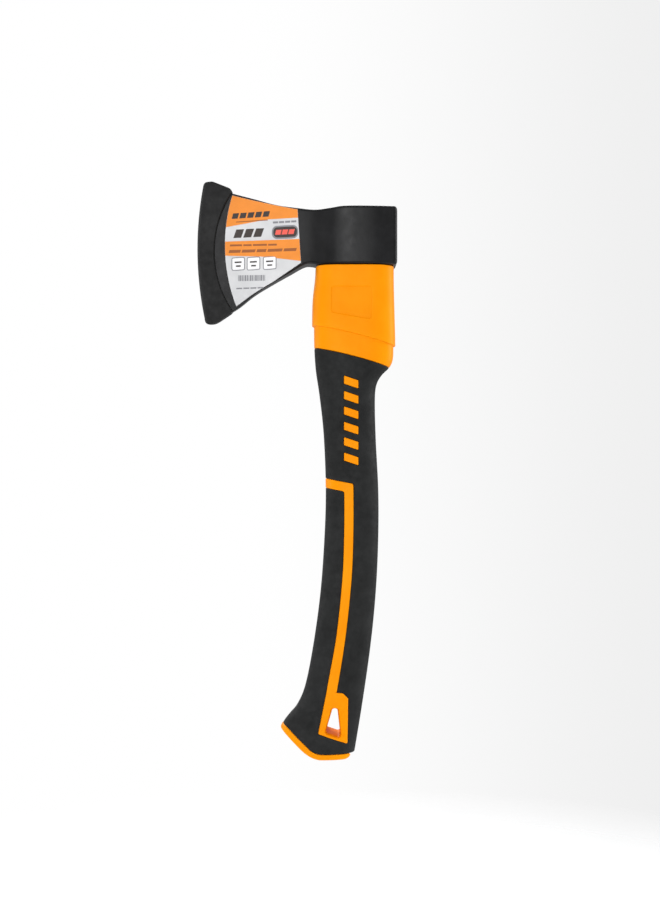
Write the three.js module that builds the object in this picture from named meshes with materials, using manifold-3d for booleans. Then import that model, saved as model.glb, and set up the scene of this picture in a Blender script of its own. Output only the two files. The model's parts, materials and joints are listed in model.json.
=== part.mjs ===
// A 600 g hand axe: forged head, fibreglass-cored two-shot handle, slip-on edge guard.
// Millimetres. +Z up the handle, -X towards the cutting edge, Y across the thickness.
// The origin is on the crown (the flat top of the head), on the axis of the eye.
import * as THREE from "three";
import { LoftGeometry } from "three/addons/geometries/LoftGeometry.js";
import { mergeVertices } from "three/addons/utils/BufferGeometryUtils.js";
import Module from "manifold-3d";

const wasm = await Module();
wasm.setup();

// ---- driving dimensions ----

const OVERALL = 360.4; // crown to butt
const GAP = 0.3; // between neighbouring solids

const POLL_X = 28; // flat back face of the head
const EDGE_X = -100.8; // foremost point of the cutting edge
const EDGE_RADIUS = 225;
const EDGE_MID_Z = -26;
const BEVEL = 8; // width of the ground edge
const EDGE_HALF = 0.15; // half the thickness left at the edge itself
const BARREL_HEIGHT = 38; // the part of the head around the eye
const HEAD_CORNER = 1.6; // rounding of the head's long edges
const POLL_CHAMFER = 1.2;
const STRAIGHT_X = -40; // behind this the head's sections no longer follow the edge arc

const EYE_BOTTOM = { length: 17, width: 8.4 }; // half sizes: the eye flares upwards,
const EYE_TOP = { length: 18.2, width: 9.6 }; // so that the resin locks the head on
const TANG = { length: 15.6, width: 7.2 };
const SEAL_TOP_Z = -34.6;

const CORE = { length: 10, width: 5.5, end: -305, tilt: 1.2 }; // half sizes, tilt in degrees
const SKIN = 2.8; // soft grip's thickness, with its gap
const NECK_BAND = 1.3; // how far the band round the neck stands proud
const PANEL_DEPTH = 0.6; // recess in each flank of the band
const RIM_TOP = -356.9; // the butt's rim shows below this

const STRIPE = { half: 3.1, top: -180, cornerX: -4, slope: -0.18, bottom: -318 };
const MARKS = { count: 6, pitch: 10, first: -114.5, x: -2, length: 9.6, height: 5.4, slant: 1.6 };

const GUARD_NOSE = 2.5; // rubber in front of the cutting edge
const GUARD_BACK = { x: -91.9, z: -28, radius: 70 }; // the hollow arc of its back edge
const GUARD_WEDGE = { half: 3, flare: 0.1 }; // half thickness, and its growth towards the back
const GUARD_TOP = 18.2;
const GUARD_BOTTOM = -76;
const TOE_Z = 15.6; // the blade's highest and lowest points
const HEEL_Z = -74;

const LABEL = { lift: 0.15, thickness: 0.3 };
const LABEL_EDGE = { x: -84.9, z: -24, radius: 113, halfHeight: 32.2 }; // its arched front edge

const AROUND = 28; // points round one section of the handle
const CHEEK_ROWS = 8; // divisions down the side of the head
const WIDE = 60; // reach of the cutting slabs, past everything

// ---- small tools ----

const v2 = (x, y) => new THREE.Vector2(x, y);

// A smooth curve through [at, value] pairs, read as a function of at.
function profile(pairs) {
  const curve = new THREE.SplineCurve(pairs.map(([at, value]) => v2(at, value)));
  const rising = pairs[0][0] < pairs.at(-1)[0];
  return (at) => {
    let low = 0;
    let high = 1;
    for (let i = 0; i < 40; i++) {
      const middle = (low + high) / 2;
      const before = curve.getPoint(middle).x < at === rising;
      if (before) low = middle;
      else high = middle;
    }
    return curve.getPoint(low).y;
  };
}

// Evenly spaced stations through a list of [position, steps to the next] pairs.
function stations(spans) {
  const out = [];
  spans.forEach(([from, steps], i) => {
    const to = spans[i + 1]?.[0] ?? from;
    for (let k = 0; k < steps; k++) out.push(from + ((to - from) * k) / steps);
  });
  out.push(spans.at(-1)[0]);
  return out;
}

// A closed geometry as a manifold solid.
function solid(geometry) {
  const bare = new THREE.BufferGeometry();
  bare.setAttribute("position", geometry.getAttribute("position"));
  bare.setIndex(geometry.index);
  const merged = mergeVertices(bare, 1e-4);
  const made = new wasm.Manifold(
    new wasm.Mesh({
      numProp: 3,
      vertProperties: new Float32Array(merged.attributes.position.array),
      triVerts: new Uint32Array(merged.index.array),
    }),
  );
  if (made.volume() <= 0) throw new Error("a solid is inside out");
  return made;
}

// A loft through sections whose second half mirrors their first. Each end is closed by
// strips across that mirror line.
function loft(sections) {
  const g = new LoftGeometry(sections);
  const count = sections[0].length;
  const index = Array.from(g.index.array);
  const strip = (row, flip) => {
    const at = (i) => row * (count + 1) + (i % count);
    const add = (a, b, c) => index.push(...(flip ? [a, c, b] : [a, b, c]));
    for (let i = 0; i < count / 2; i++) {
      const mirrored = count - i;
      if (i > 0) add(at(i), at(mirrored - 1), at(mirrored));
      if (i < count / 2 - 1) add(at(i), at(i + 1), at(mirrored - 1));
    }
  };
  strip(0, true);
  strip(sections.length - 1, false);
  g.setIndex(index);
  return solid(g);
}

// One point of a superellipse; a power of 2 is an ellipse and a higher one is boxier.
function superellipse(angle, halfX, halfY, power) {
  const round = (v) => Math.sign(v) * Math.abs(v) ** (2 / power);
  return v2(halfX * round(Math.cos(angle)), halfY * round(Math.sin(angle)));
}

// A horizontal section at height z, centred on x.
function ring(z, x, halfX, halfY, power) {
  return Array.from({ length: AROUND }, (_, i) => {
    const p = superellipse((2 * Math.PI * i) / AROUND, halfX, halfY, power);
    return new THREE.Vector3(x + p.x, p.y, z);
  });
}

// A side outline, given as [x, z] pairs or a Shape, run through the whole thickness.
function slab(outline) {
  const shape = Array.isArray(outline)
    ? new THREE.Shape(outline.map(([x, z]) => v2(x, z)))
    : outline;
  const g = new THREE.ExtrudeGeometry(shape, {
    depth: 2 * WIDE,
    bevelEnabled: false,
    curveSegments: 16,
  });
  g.translate(0, 0, -WIDE);
  g.rotateX(Math.PI / 2);
  return solid(g);
}

// A convex outline of [x, z] pairs, in order, moved outwards by a distance.
function grown(points, by) {
  const centre = points.reduce((s, [x, z]) => s.add(v2(x, z)), v2(0, 0));
  centre.divideScalar(points.length);
  const lines = points.map(([x, z], i) => {
    const [nx, nz] = points[(i + 1) % points.length];
    const normal = v2(nz - z, x - nx).normalize();
    if (normal.dot(v2(x, z).sub(centre)) < 0) normal.negate();
    return { normal, reach: normal.dot(v2(x, z)) + by };
  });
  return lines.map((b, i) => {
    const a = lines.at(i - 1);
    const cross = a.normal.x * b.normal.y - a.normal.y * b.normal.x;
    return [
      (a.reach * b.normal.y - b.reach * a.normal.y) / cross,
      (b.reach * a.normal.x - a.reach * b.normal.x) / cross,
    ];
  });
}

// ---- the head ----

const headTop = profile([
  [-106, 15.8], [-97, 14], [-80, 9.6], [-66, 6], [-52, 2.2], [-38, 0],
  [-26, -1.6], [-17, -1.1], [-8, -0.1], [0, 0], [14, 0], [POLL_X + 4, 0],
]);
const headBottom = profile([
  [-106, -74], [-97, -73], [-90, -71.2], [-78, -65], [-66, -56.6], [-54, -49.5],
  [-42, -42.7], [-33, -37.6], [-28, -37], [-22, -BARREL_HEIGHT], [-12, -BARREL_HEIGHT],
  [POLL_X + 4, -BARREL_HEIGHT],
]);
const headHalf = profile([
  [-106, 1.1], [-92, 1.8], [-80, 2.8], [-62, 4.7], [-44, 6.9], [-30, 9.1], [-20, 11.7],
  [-12, 14.1], [-5, 15.3], [2, 15.5], [13, 15], [24, 13.4], [POLL_X + 4, 12.4],
]);

// How far behind its foremost point the edge arc lies at height z.
function bow(z) {
  return EDGE_RADIUS - Math.sqrt(EDGE_RADIUS ** 2 - (z - EDGE_MID_Z) ** 2);
}

function headHalfAt(x) {
  const bevelEnd = EDGE_X + BEVEL;
  if (x < bevelEnd) {
    return THREE.MathUtils.mapLinear(x, EDGE_X, bevelEnd, EDGE_HALF, headHalf(bevelEnd));
  }
  return headHalf(x) - Math.max(0, x - (POLL_X - POLL_CHAMFER));
}

// Points of a quarter circle, counted in quarter turns from +X.
function quarter(centre, radius, start) {
  const steps = 3;
  return Array.from({ length: steps + 1 }, (_, k) => {
    const turn = (start + k / steps) * (Math.PI / 2);
    return v2(centre.x + radius * Math.cos(turn), centre.y + radius * Math.sin(turn));
  });
}

// A rounded upright section at station x, bent to the edge arc near the edge.
function bladeSection(x, half, top, bottom) {
  const corner = Math.min(HEAD_CORNER, 0.6 * half);
  const upper = v2(corner - half, top - corner);
  const lower = v2(corner - half, bottom + corner);
  const cheek = stations([[upper.y, CHEEK_ROWS], [lower.y, 0]]).slice(1, -1).map((z) => v2(-half, z));
  const side = [
    v2(0, top), ...quarter(upper, corner, 1), ...cheek, ...quarter(lower, corner, 2), v2(0, bottom),
  ];
  const mirrored = side.slice(1, -1).map((p) => v2(-p.x, p.y)).reverse();
  const follow = 1 - THREE.MathUtils.smoothstep(x, EDGE_X, STRAIGHT_X);
  return [...side, ...mirrored].map((p) => new THREE.Vector3(x + bow(p.y) * follow, p.x, p.y));
}

function headSection(x, grow) {
  const inset = Math.max(0, x - (POLL_X - POLL_CHAMFER));
  const top = headTop(x) - inset + grow;
  const bottom = headBottom(x) + inset - grow;
  return bladeSection(x, headHalfAt(x) + grow, top, bottom);
}

function headBody(grow = 0) {
  const xs = stations([
    [EDGE_X - grow, 1], [EDGE_X + BEVEL, 12], [-30, 14], [POLL_X - POLL_CHAMFER, 1],
    [POLL_X + grow, 0],
  ]);
  return loft(xs.map((x) => headSection(x, grow)));
}

// The eye, or a plug that fills it, between two heights.
function eyePlug(fromZ, toZ, grow) {
  const sections = [fromZ, toZ].map((z) => {
    const share = 1 + z / BARREL_HEIGHT;
    const halfX = THREE.MathUtils.lerp(EYE_BOTTOM.length, EYE_TOP.length, share);
    const halfY = THREE.MathUtils.lerp(EYE_BOTTOM.width, EYE_TOP.width, share);
    return ring(z, 0, halfX + grow, halfY + grow, 2.3);
  });
  return loft(sections);
}

function tang(fromZ, toZ, grow) {
  return loft([fromZ, toZ].map((z) => ring(z, 0, TANG.length + grow, TANG.width + grow, 2.3)));
}

function axeHead() {
  return headBody().subtract(eyePlug(-BARREL_HEIGHT - 2, 2, 0));
}

function eyeResin() {
  const top = -0.4; // poured to just under the crown
  return eyePlug(SEAL_TOP_Z, top, -GAP).subtract(tang(SEAL_TOP_Z - 1, top + 1, GAP));
}

function eyeSealRing() {
  const bottom = -BARREL_HEIGHT + GAP;
  const top = SEAL_TOP_Z - GAP;
  return eyePlug(bottom, top, -GAP).subtract(tang(bottom - 1, top + 1, GAP));
}

// ---- the handle ----

const handleFront = profile([
  [-30, -23.7], [-45, -24.3], [-60, -25.9], [-75, -26.3], [-90, -26.2], [-106, -25.2],
  [-124, -22.6], [-150, -19.9], [-187, -18.6], [-222, -19.8], [-256, -22.5], [-290, -27.3],
  [-314, -32.2], [-326, -37.2], [-332, -42], [-336, -45.2], [-340, -47.6], [-345, -49.2],
  [-370, -52],
]);
const handleBack = profile([
  [-30, 24.8], [-50, 24.9], [-70, 25.4], [-86, 25.8], [-98, 25.7], [-104, 23.6],
  [-109.5, 18.3], [-116, 14.8], [-127, 13.8], [-152, 14.4], [-187, 16.1], [-222, 15.9],
  [-256, 14.1], [-290, 10.6], [-330, 4.8], [-370, -1.9],
]);
const handleHalf = profile([
  [-30, 13.7], [-60, 14], [-90, 14], [-108, 13], [-130, 12], [-190, 12], [-256, 11.8],
  [-316, 12.2], [-345, 13], [-370, 13.6],
]);
const handlePower = profile([[-30, 3.6], [-90, 3.4], [-125, 2.6], [-250, 2.5], [-370, 2.6]]);

// The handle's smooth outer form, grown or shrunk all round.
function handleForm(grow) {
  const zs = stations([[-32, 4], [-96, 6], [-120, 12], [-314, 7], [-368, 0]]);
  const sections = zs.map((z) => {
    const front = handleFront(z) - grow;
    const back = handleBack(z) + grow;
    return ring(z, (front + back) / 2, (back - front) / 2, handleHalf(z) + grow, handlePower(z));
  });
  return loft(sections.reverse());
}

// Everything above a line that crosses the handle from left to right.
function above(line) {
  return slab(new THREE.Shape([...line.getPoints(16), v2(WIDE, 10), v2(-WIDE, 10)]));
}

// The slanting line where the soft grip starts.
function partingLine(drop = 0) {
  const line = new THREE.Path([v2(-WIDE, -91.4 - drop), v2(-29, -91.4 - drop)]);
  line.quadraticCurveTo(0, -96.3 - drop, 29, -106.4 - drop);
  line.lineTo(WIDE, -106.4 - drop);
  return line;
}

// The raised band round the neck ends in a step above that line.
function bandLine() {
  const line = new THREE.Path([v2(-WIDE, -77.2), v2(-29, -77.2)]);
  line.quadraticCurveTo(0, -82, 29, -92);
  line.lineTo(WIDE, -92);
  return line;
}

// The lower outline of the butt; its rear corner is rounded off under the soft grip.
function buttLine() {
  const line = new THREE.Path([v2(-WIDE, -329.7), v2(-35.5, -353.2)]);
  line.quadraticCurveTo(-28, -OVERALL, -21, -OVERALL);
  line.lineTo(-7.5, -OVERALL);
  line.quadraticCurveTo(-2.8, -OVERALL, -2.3, RIM_TOP);
  line.lineTo(WIDE, RIM_TOP);
  return line;
}

// The seam between the soft grip and the rim of the butt.
function seamLine(lift = 0) {
  const line = new THREE.Path([v2(-WIDE, -324.5 + lift), v2(-30.5, -352.3 + lift)]);
  line.quadraticCurveTo(-26.5, RIM_TOP + lift, -20, RIM_TOP + lift);
  line.lineTo(WIDE, RIM_TOP + lift);
  return line;
}

const neckPanel = [[-14.8, -52.5], [11.2, -52.5], [11.2, -74], [-14.8, -69.5]];

const stripeMiddle = profile([
  [-178, -3.5], [-213, -3.6], [-243, -4.8], [-282, -8.9], [-322, -15.4],
]);

// The inlay starts at the front of the grip, falls a little towards the back and turns
// down towards the butt.
function stripeOutline(grow) {
  const half = STRIPE.half + grow;
  const top = STRIPE.top + grow;
  const turn = top - 2 * half;
  const falling = (x, z) => v2(x, z + STRIPE.slope * (x - STRIPE.cornerX));
  const corner = falling(stripeMiddle(turn) + half, top);
  const elbow = falling(stripeMiddle(turn) - half, turn);
  const zs = stations([[turn, 9], [STRIPE.bottom, 0]]);
  const shape = new THREE.Shape([falling(-WIDE, top), falling(-6, top)]);
  shape.quadraticCurveTo(corner.x, corner.y, corner.x, turn);
  zs.slice(1).forEach((z) => shape.lineTo(stripeMiddle(z) + half, z));
  zs.slice(1).reverse().forEach((z) => shape.lineTo(stripeMiddle(z) - half, z));
  shape.quadraticCurveTo(elbow.x, elbow.y, -9, falling(-9, turn).y);
  shape.lineTo(-WIDE, falling(-WIDE, turn).y);
  return shape;
}

const eyelet = [[-18.1, -316], [-7.4, -316.9], [-3.8, -320.3], [-4.2, -350.3], [-23.6, -343.3]];
const hangHole = [[-14.3, -327.2], [-10.3, -327.5], [-9.4, -345], [-18.4, -341.7]];

// Plain slanting bars let through the grip at the neck.
function markOutline(i) {
  const z = MARKS.first - i * MARKS.pitch;
  const halfX = MARKS.length / 2;
  const halfZ = MARKS.height / 2;
  return [
    [MARKS.x - halfX, z + halfZ + MARKS.slant], [MARKS.x + halfX, z + halfZ - MARKS.slant],
    [MARKS.x + halfX, z - halfZ - MARKS.slant], [MARKS.x - halfX, z - halfZ + MARKS.slant],
  ];
}

// The parts of the jacket that reach the surface through the grip.
function windows(grow) {
  let all = slab(stripeOutline(grow)).add(slab(grown(eyelet, grow)));
  for (let i = 0; i < MARKS.count; i++) all = all.add(slab(grown(markOutline(i), grow)));
  return all;
}

function coreBar(grow, topZ) {
  const lean = Math.tan(THREE.MathUtils.degToRad(CORE.tilt));
  const ends = [CORE.end - grow, topZ];
  return loft(ends.map((z) => ring(z, z * lean, CORE.length + grow, CORE.width + grow, 4)));
}

function handleJacket() {
  const form = handleForm(0);
  const top = -BARREL_HEIGHT - GAP;
  const belowHead = slab([[-WIDE, top], [WIDE, top], [WIDE, -2 * OVERALL], [-WIDE, -2 * OVERALL]]);
  const neck = form.intersect(above(partingLine()));
  const band = handleForm(NECK_BAND).intersect(above(bandLine()));
  const panel = slab(neckPanel).subtract(handleForm(NECK_BAND - PANEL_DEPTH));
  const rim = form.subtract(above(seamLine()));
  return handleForm(-SKIN)
    .add(neck)
    .add(band)
    .subtract(panel)
    .add(form.intersect(windows(0)))
    .add(rim)
    .intersect(belowHead)
    .intersect(above(buttLine()))
    .add(tang(top - 1, 0, 0))
    .subtract(slab(hangHole))
    .subtract(coreBar(GAP, 5));
}

function gripSleeve() {
  return handleForm(0)
    .subtract(above(partingLine(GAP)))
    .intersect(above(seamLine(GAP)))
    .subtract(handleForm(-SKIN + GAP))
    .subtract(windows(GAP));
}

// ---- the label ----

function faceLabel() {
  const { lift, thickness } = LABEL;
  const { x, z, radius, halfHeight } = LABEL_EDGE;
  const skin = headBody(lift + thickness).subtract(headBody(lift));
  const reach = Math.asin(halfHeight / radius);
  const outline = new THREE.Shape();
  outline.absarc(x + radius, z, radius, Math.PI - reach, Math.PI + reach);
  outline.lineTo(-77.9, -63);
  outline.lineTo(-34.8, -34.8);
  outline.lineTo(-37, -1.5);
  outline.quadraticCurveTo(-58, 2.3, -79, 8.2);
  const oneSide = solid(new THREE.BoxGeometry(4 * WIDE, WIDE, 4 * WIDE).translate(0, -WIDE / 2 - lift, 0));
  return skin.intersect(slab(outline)).intersect(oneSide);
}

// ---- the edge guard ----

// A wedge with a blunt nose at every height, its back edge hollowed to a second arc.
function guardForm() {
  const { x, z: middle, radius } = GUARD_BACK;
  const sections = stations([[GUARD_BOTTOM - 1, 15], [GUARD_TOP + 1, 0]]).map((z) => {
    const front = EDGE_X - GUARD_NOSE + bow(z);
    const back = x + radius - Math.sqrt(radius ** 2 - (z - middle) ** 2);
    const half = (behind) => GUARD_WEDGE.half + GUARD_WEDGE.flare * behind;
    const plan = [
      [back, 0], [back, half(back - front)], [front + 3, half(3)], [front + 1, 2.4],
      [front + 0.1, 1], [front, 0],
    ];
    const mirrored = plan.slice(1, -1).map(([px, py]) => [px, -py]).reverse();
    return [...plan, ...mirrored].map(([px, py]) => new THREE.Vector3(px, py, z));
  });
  return loft(sections);
}

// The guard's upper and lower outline; it is wider than the form at the front and back.
function guardOutline() {
  const shape = new THREE.Shape([v2(-106, GUARD_TOP - 3.6), v2(-99.7, GUARD_TOP - 3.6)]);
  shape.quadraticCurveTo(-99.2, GUARD_TOP, -96.4, GUARD_TOP);
  shape.lineTo(-93.6, GUARD_TOP);
  shape.lineTo(-82.6, 13.7);
  shape.quadraticCurveTo(-80.4, 12.8, -80.2, 10);
  shape.lineTo(-WIDE, 10);
  shape.lineTo(-WIDE, -65);
  shape.lineTo(-78.6, -65);
  shape.quadraticCurveTo(-78.4, -67, -80.4, -68.4);
  shape.lineTo(-87.6, -73.4);
  shape.quadraticCurveTo(-92, GUARD_BOTTOM, -94.6, GUARD_BOTTOM);
  shape.quadraticCurveTo(-98.6, GUARD_BOTTOM, -98.8, -72.6);
  shape.lineTo(-106, -72.6);
  return shape;
}

// The room the blade needs, with a gap all round, as the guard is drawn off forwards.
function guardCavity() {
  const xs = stations([[EDGE_X - GAP, 1], [EDGE_X + BEVEL, 6], [-WIDE, 0]]);
  return loft(xs.map((x) => bladeSection(x, headHalfAt(x) + GAP, TOE_Z + GAP, HEEL_Z - GAP)));
}

function edgeGuard() {
  return guardForm().intersect(slab(guardOutline())).subtract(guardCavity());
}

// ---- materials and assembly ----

const finish = (color, roughness, metalness = 0) =>
  new THREE.MeshStandardMaterial({ color, roughness, metalness });

const lacquer = finish(0x2e2e2e, 0.5, 0.3);
const orangePlastic = finish(0xfda004, 0.45);
const softBlack = finish(0x2b2c2c, 0.8);
const guardRubber = finish(0x313131, 0.7);
const fibreglass = finish(0xc9c48f, 0.6);
const resin = finish(0x6b4a1c, 0.3);
const sealRubber = finish(0x1c1c1c, 0.85);
const labelPaper = finish(0xf0a040, 0.35);

function part(name, made, material) {
  const mesh = made.getMesh();
  const g = new THREE.BufferGeometry();
  g.setAttribute("position", new THREE.BufferAttribute(mesh.vertProperties, 3));
  g.setIndex(new THREE.BufferAttribute(mesh.triVerts, 1));
  g.computeVertexNormals();
  const out = new THREE.Mesh(g, material);
  out.name = name;
  return out;
}

const axe = new THREE.Group();
axe.add(
  part("axe_head", axeHead(), lacquer),
  part("eye_resin", eyeResin(), resin),
  part("eye_seal_ring", eyeSealRing(), sealRubber),
  part("fibreglass_core", coreBar(0, 0), fibreglass),
  part("handle_jacket", handleJacket(), orangePlastic),
  part("grip_sleeve", gripSleeve(), softBlack),
  part("face_label", faceLabel(), labelPaper),
);

const guard = new THREE.Group();
guard.add(part("edge_guard", edgeGuard(), guardRubber));
axe.add(guard);

export default axe;
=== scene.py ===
"""Looks of a 600 g hand axe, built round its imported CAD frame.

Lengths in the shape functions are millimetres in the CAD frame: +Z up the handle, -X
towards the cutting edge, Y across the thickness, origin on the crown over the eye.
"""

import json
import math

import bmesh
import bpy
import numpy as np
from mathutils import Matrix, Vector

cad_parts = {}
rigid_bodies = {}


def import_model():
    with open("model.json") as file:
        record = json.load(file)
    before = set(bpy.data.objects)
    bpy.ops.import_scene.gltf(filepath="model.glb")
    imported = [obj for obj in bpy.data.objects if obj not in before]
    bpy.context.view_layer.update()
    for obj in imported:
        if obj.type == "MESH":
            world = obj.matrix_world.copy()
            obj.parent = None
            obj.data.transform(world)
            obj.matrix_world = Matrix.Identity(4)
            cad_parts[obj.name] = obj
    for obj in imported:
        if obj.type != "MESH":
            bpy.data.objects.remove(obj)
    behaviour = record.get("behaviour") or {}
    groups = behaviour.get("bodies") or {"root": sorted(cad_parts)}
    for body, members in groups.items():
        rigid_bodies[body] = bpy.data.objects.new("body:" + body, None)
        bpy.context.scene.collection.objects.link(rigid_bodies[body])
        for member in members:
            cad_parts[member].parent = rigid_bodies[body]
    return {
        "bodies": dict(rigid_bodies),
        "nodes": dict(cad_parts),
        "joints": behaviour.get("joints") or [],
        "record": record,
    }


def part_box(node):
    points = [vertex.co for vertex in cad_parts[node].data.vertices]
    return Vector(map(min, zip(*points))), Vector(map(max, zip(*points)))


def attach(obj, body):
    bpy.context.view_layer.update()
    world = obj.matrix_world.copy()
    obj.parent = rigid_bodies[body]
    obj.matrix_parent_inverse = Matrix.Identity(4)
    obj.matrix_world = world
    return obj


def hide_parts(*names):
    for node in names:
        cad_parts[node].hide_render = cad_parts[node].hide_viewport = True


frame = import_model()
SCENE = bpy.context.scene
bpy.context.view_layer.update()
MM = 0.001


def box_mm(node):
    low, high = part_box(node)
    return np.array(low) / MM, np.array(high) / MM


HEAD_LOW, HEAD_HIGH = box_mm("axe_head")
GUARD_LOW, GUARD_HIGH = box_mm("edge_guard")
CORE_LOW, CORE_HIGH = box_mm("fibreglass_core")

POLL_X = HEAD_HIGH[0]
EDGE_X = HEAD_LOW[0]
BUTT_Z = box_mm("handle_jacket")[0][2]
SEAM_Z = box_mm("grip_sleeve")[0][2]
RESIN_LOW = box_mm("eye_resin")[0][2]
NOSE_X = GUARD_LOW[0]
GUARD_TOP = GUARD_HIGH[2]
GUARD_BOTTOM = GUARD_LOW[2]
NECK_TOP = -38.3  # just under the head

# ---- curves and outlines


def profile(pairs):
    """A smooth curve through (at, value) pairs, read as a function of at."""
    pts = np.array(pairs, float)
    ext = np.vstack([pts[:1], pts, pts[-1:]])
    t = np.linspace(0, 1, 60, endpoint=False)[:, None]
    out = []
    for p0, p1, p2, p3 in zip(ext, ext[1:], ext[2:], ext[3:]):
        v0, v1 = (p2 - p0) / 2, (p3 - p1) / 2
        cubic, square = 2 * p1 - 2 * p2 + v0 + v1, -3 * p1 + 3 * p2 - 2 * v0 - v1
        out.append(cubic * t**3 + square * t**2 + v0 * t + p1)
    xy = np.vstack(out + [pts[-1:]])
    xy = xy[np.argsort(xy[:, 0])]
    return lambda at: np.interp(at, xy[:, 0], xy[:, 1])


def bezier(p0, p1, p2, n=24):
    t = np.linspace(0, 1, n)[:, None]
    p0, p1, p2 = (np.array(p, float) for p in (p0, p1, p2))
    return (1 - t) ** 2 * p0 + 2 * t * (1 - t) * p1 + t**2 * p2


def line_fn(*parts):
    """z as a function of x along lists of points that follow one another to the right."""
    pts = np.vstack(parts)
    return lambda x: np.interp(x, pts[:, 0], pts[:, 1])


def slanted(x0, z0, slope):
    return lambda x: z0 + slope * (np.asarray(x) - x0)


def polyline_distance(x, z, points):
    """Distance from each (x, z) to the nearest point of a polyline."""
    best = np.full(np.shape(x), 1e9)
    for (ax, az), (bx, bz) in zip(points[:-1], points[1:]):
        dx, dz = bx - ax, bz - az
        t = np.clip(((x - ax) * dx + (z - az) * dz) / (dx * dx + dz * dz), 0, 1)
        best = np.minimum(best, np.hypot(x - ax - t * dx, z - az - t * dz))
    return best


def sides(points):
    """The outward normal and the starting point of each side of a convex outline."""
    pts = np.array(points, float)
    centre = pts.mean(0)
    out = []
    for a, b in zip(pts, np.roll(pts, -1, axis=0)):
        n = np.array([b[1] - a[1], a[0] - b[0]]) / math.hypot(*(b - a))
        out.append((n if n @ (a - centre) > 0 else -n, a))
    return out


def meeting(side, other, inset):
    """Where two sides meet once both are moved inwards."""
    (n0, p0), (n1, p1) = side, other
    return np.linalg.solve(np.array([n0, n1]), np.array([n0 @ p0 - inset, n1 @ p1 - inset]))


def convex_distance(x, z, points, radius):
    """Signed distance to a convex outline with rounded corners, negative inside."""
    edges = sides(points)
    worst = np.max([n[0] * x + n[1] * z - (n @ a - radius) for n, a in edges], axis=0)
    corners = [meeting(e, f, radius) for e, f in zip(edges, edges[1:] + edges[:1])]
    outside = polyline_distance(x, z, corners + corners[:1])
    return np.where(worst > 0, outside, worst) - radius


def rounded_outline(points, radius, grow, per=8):
    """A convex outline with arcs at its corners, moved outwards by grow."""
    edges = sides(points)
    out = []
    for before, after in zip(edges[-1:] + edges[:-1], edges):
        core = meeting(before, after, radius)
        start, end = (math.atan2(n[1], n[0]) for n, _ in (before, after))
        turn = (end - start + math.pi) % (2 * math.pi) - math.pi
        for k in range(per + 1):
            t = start + turn * k / per
            out.append(core + (radius + grow) * np.array([math.cos(t), math.sin(t)]))
    return np.array(out)


def rolled(distance, radius):
    """How far a surface drops near an edge, as a quarter circle: fully at distance 0."""
    left = np.clip(radius - distance, 0, radius)
    return radius - np.sqrt(np.maximum(radius**2 - left**2, 0))


def arc_dip(z, middle, radius):
    """How far an upright arc falls back from its foremost point, at height z."""
    return radius - np.sqrt(radius**2 - (z - middle) ** 2)


def smooth(x, low, high):
    t = np.clip((x - low) / (high - low), 0, 1)
    return t * t * (3 - 2 * t)


# ---- meshes


def quads(rows, across, wrap=False):
    """Faces between neighbouring rows of points. With wrap each row is a ring."""
    out = []
    for r in range(rows - 1):
        for k in range(across if wrap else across - 1):
            a, b = r * across + k, r * across + (k + 1) % across
            out.append((a, b, b + across, a + across))
    return out


def tube(rows, caps=True, flat=0):
    """Vertices and faces of a skin over rings (rows, columns, 3), with a cap at each end
    or, without caps, joined end to end. Each ring starts on the mirror plane and is
    symmetric, so that its caps are strips across that plane. Flat is the number of spans
    on each side of the plane that lie square to it."""
    count, across = rows.shape[:2]
    verts = rows.reshape(-1, 3)
    if not caps:
        loops = quads(count + 1, across, wrap=True)
        return verts, [tuple(v % len(verts) for v in f) for f in loops]
    faces = quads(count, across, wrap=True)
    half = across // 2
    strips = [[k % across for k in range(-flat - 1, flat + 2)]]
    strips += [[k, k + 1, across - k - 1, across - k] for k in range(flat + 1, half - flat - 1)]
    strips.append(list(range(half - flat - 1, half + flat + 2)))
    for strip in strips:
        faces.append(tuple(strip[::-1]))
        faces.append(tuple((count - 1) * across + k for k in strip))
    return verts, faces


def plate(near, far):
    """A closed solid between two grids of points (rows, columns, 3) of the same size."""
    rows, cols = near.shape[:2]
    n = rows * cols
    faces = []
    for quad in quads(rows, cols):
        faces += [quad, tuple(v + n for v in quad[::-1])]
    grid = np.arange(n).reshape(rows, cols)
    rim = np.concatenate([grid[:, 0], grid[-1, 1:], grid[-2::-1, -1], grid[0, -2:0:-1]]).tolist()
    for p, q in zip(rim, rim[1:] + rim[:1]):
        faces.append((p, q, q + n, p + n))
    return np.vstack([near.reshape(-1, 3), far.reshape(-1, 3)]), faces


def prism(sections):
    """A closed solid through outlines in the xz plane, given as (y, outline)."""
    n = len(sections[0][1])
    verts = [(p[0], y, p[1]) for y, outline in sections for p in outline]
    faces = quads(len(sections), n, wrap=True)
    faces.append(tuple(range(n))[::-1])
    faces.append(tuple(range((len(sections) - 1) * n, len(sections) * n)))
    return verts, faces


def joined(solids):
    """Several (vertices, faces) as one."""
    verts, faces = [], []
    for more_verts, more_faces in solids:
        faces += [tuple(i + len(verts) for i in f) for f in more_faces]
        verts += list(more_verts)
    return verts, faces


def make(name, solid, materials, face_material=None, sharp=35):
    """A named mesh object from (vertices, faces), smooth except where faces meet at more
    than sharp degrees."""
    verts, faces = solid
    mesh = bpy.data.meshes.new(name)
    mesh.from_pydata((np.asarray(verts) * MM).tolist(), [], faces)
    for m in materials:
        mesh.materials.append(m)
    if face_material is not None:
        mesh.polygons.foreach_set("material_index", np.asarray(face_material, np.int32))
    obj = bpy.data.objects.new(name, mesh)
    SCENE.collection.objects.link(obj)
    bm = bmesh.new()
    bm.from_mesh(mesh)
    bmesh.ops.remove_doubles(bm, verts=bm.verts, dist=2e-6)
    bmesh.ops.recalc_face_normals(bm, faces=bm.faces)
    bm.to_mesh(mesh)
    bm.free()
    finish_shading(mesh, sharp)
    return obj


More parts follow.
